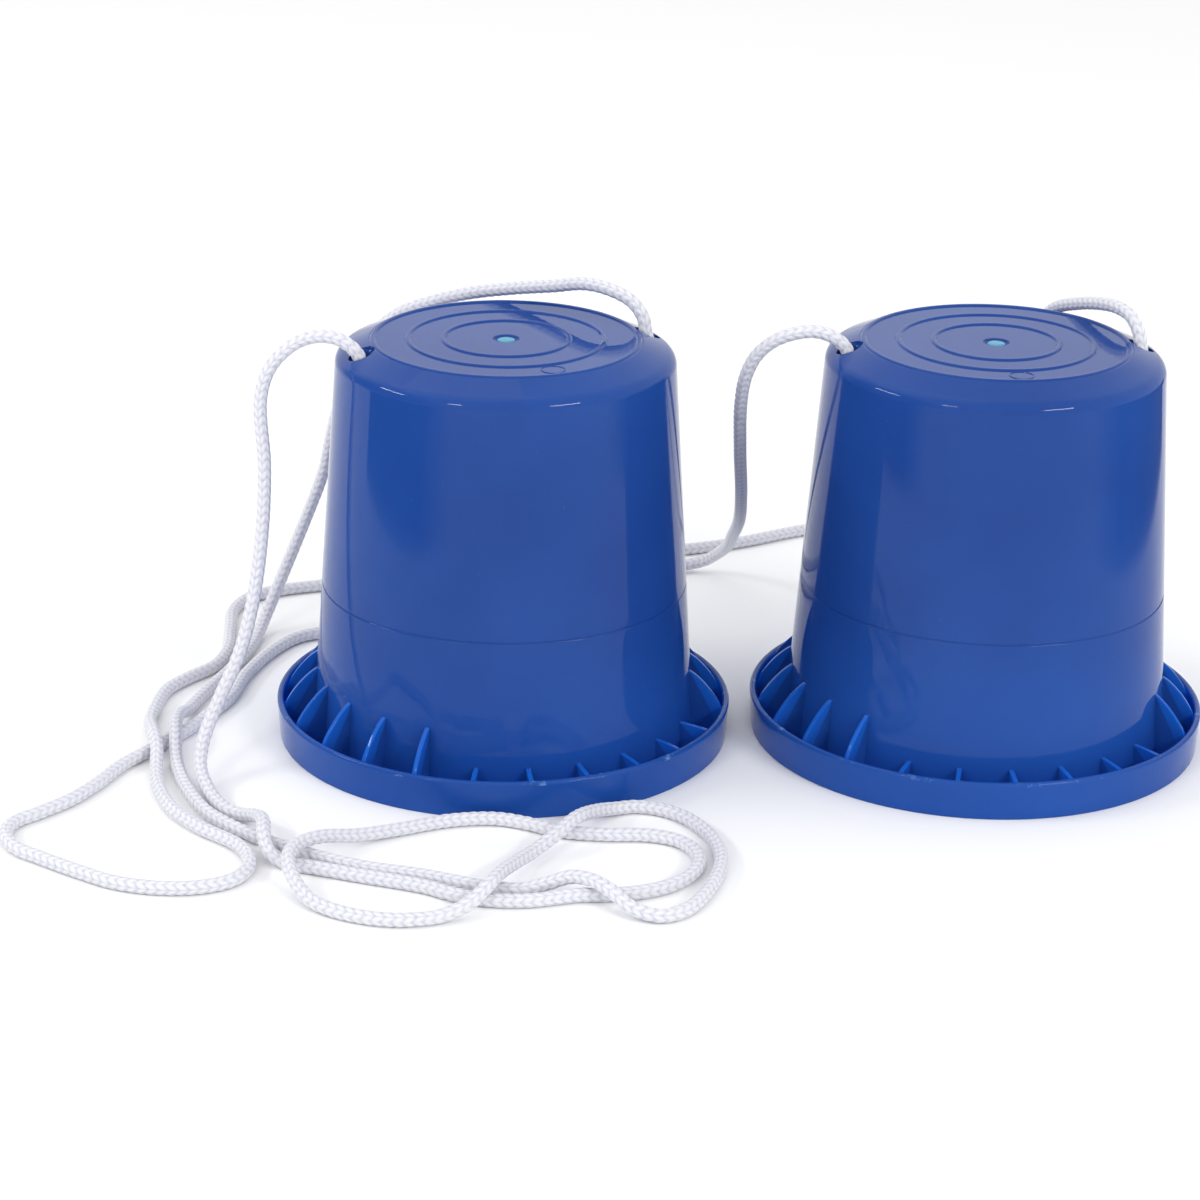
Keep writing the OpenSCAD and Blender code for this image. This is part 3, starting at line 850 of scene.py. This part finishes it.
def makeWorld(s):
    world = bpy.data.worlds.new("studio")
    scene.world = world
    world.use_nodes = True
    nodes, links = world.node_tree.nodes, world.node_tree.links
    nodes.clear()
    out = nodes.new("ShaderNodeOutputWorld")
    rays = nodes.new("ShaderNodeLightPath")
    lit = addNode(nodes, "ShaderNodeBackground", Strength=s["ambient"])
    seen = addNode(nodes, "ShaderNodeBackground", Strength=s["seen"])
    for node in (lit, seen):
        node.inputs["Color"].default_value = (1, 1, 1, 1)
    # The camera and the gloss see the white surround, and everything else gets the softer light
    first = nodes.new("ShaderNodeMath")
    second = nodes.new("ShaderNodeMath")
    for node in (first, second):
        node.operation = "MAXIMUM"
    links.new(rays.outputs["Is Camera Ray"], first.inputs[0])
    links.new(rays.outputs["Is Glossy Ray"], first.inputs[1])
    links.new(first.outputs[0], second.inputs[0])
    links.new(rays.outputs["Is Transmission Ray"], second.inputs[1])
    mix = nodes.new("ShaderNodeMixShader")
    links.new(second.outputs[0], mix.inputs[0])
    links.new(lit.outputs[0], mix.inputs[1])
    links.new(seen.outputs[0], mix.inputs[2])
    links.new(mix.outputs[0], out.inputs["Surface"])
    # A darker side of the studio at the left, which the gloss shows
    place = nodes.new("ShaderNodeTexCoord")
    parts = nodes.new("ShaderNodeSeparateXYZ")
    links.new(place.outputs["Generated"], parts.inputs[0])
    shade = mapRange(nodes, links, parts.outputs["X"], *s["darkSide"], s["darkest"], s["seen"])
    links.new(shade, seen.inputs["Strength"])


# Dark cards out of the camera's sight, which only the gloss of the pots shows

cardSet = {
    "left": {"ends": ((-0.290, -0.350), (-0.490, 0.020)), "height": 0.1, "weight": 1.0},
    "right": {"ends": ((0.378, -0.190), (0.330, 0.260)), "height": 0.1, "weight": 0.9},
    "tone": (0.01, 0.015, 0.03, 1),
    "roughness": 0.9,
    "fadeFront": 0.3,
    "fadeLow": 0.012,
}


def makeDarkCard(which):
    s = cardSet[which]
    front, back = (Vector(end + (0,)) for end in s["ends"])
    bm = bmesh.new()
    bmesh.ops.create_grid(bm, x_segments=20, y_segments=10, size=0.5)
    bmesh.ops.translate(bm, vec=(0.5, 0.5, 0), verts=bm.verts)
    soft = bm.verts.layers.float.new("soft")
    for v in bm.verts:
        share, z = v.co.x, v.co.y * s["height"]
        v[soft] = s["weight"] * min(1, share / cardSet["fadeFront"]) * min(1, z / cardSet["fadeLow"])
        v.co = front.lerp(back, share) + Vector((0, 0, z))
    card = link(bpy.data.objects.new(which + "Card", meshOf(which + "Card", bm)))
    mat, nodes, links, shader = newMaterial(which + "CardDark")
    mask = addNode(nodes, "ShaderNodeAttribute", attribute_name="soft")
    links.new(mask.outputs["Fac"], shader.inputs["Alpha"])
    shader.inputs["Base Color"].default_value = cardSet["tone"]
    shader.inputs["Roughness"].default_value = cardSet["roughness"]
    card.data.materials.append(mat)
    card.visible_camera = card.visible_diffuse = card.visible_shadow = card.visible_transmission = False


# Lamps: one broad and soft above, three strips that leave the streaks on the pots

lampSet = {
    "topSoft": {"place": (-0.5, 0.2, 1.6), "aim": (0, 0, 0.05), "size": (1.3, 1.3), "power": 2},
    "frontStrip": {"place": (1.2, -1.35, 1.1), "aim": (0, 0, 0.06), "size": (0.7, 0.18), "power": 12},
    "frontLeftStrip": {"place": (-1.05, -1.5, 1.1), "aim": (0, 0, 0.06), "size": (0.34, 0.13), "power": 4.2},
    "leftStrip": {"place": (-1.5, -0.1, 1.0), "aim": (0, 0, 0.06), "size": (0.6, 0.15), "power": 5.5},
}


def makeLamp(name):
    s = lampSet[name]
    data = bpy.data.lights.new(name, "AREA")
    data.shape = "RECTANGLE"
    data.size, data.size_y = s["size"]
    data.energy = s["power"]
    lamp = link(bpy.data.objects.new(name, data))
    lamp.location = s["place"]
    lamp.rotation_mode = "QUATERNION"
    lamp.rotation_quaternion = (Vector(s["aim"]) - Vector(s["place"])).to_track_quat("-Z", "Y")


makeFloor(stageSet)
makeWorld(stageSet)
for which in stilts:
    makeDarkCard(which)
for name in lampSet:
    makeLamp(name)
scene.view_settings.view_transform = "Standard"
print("stage: floor and light")
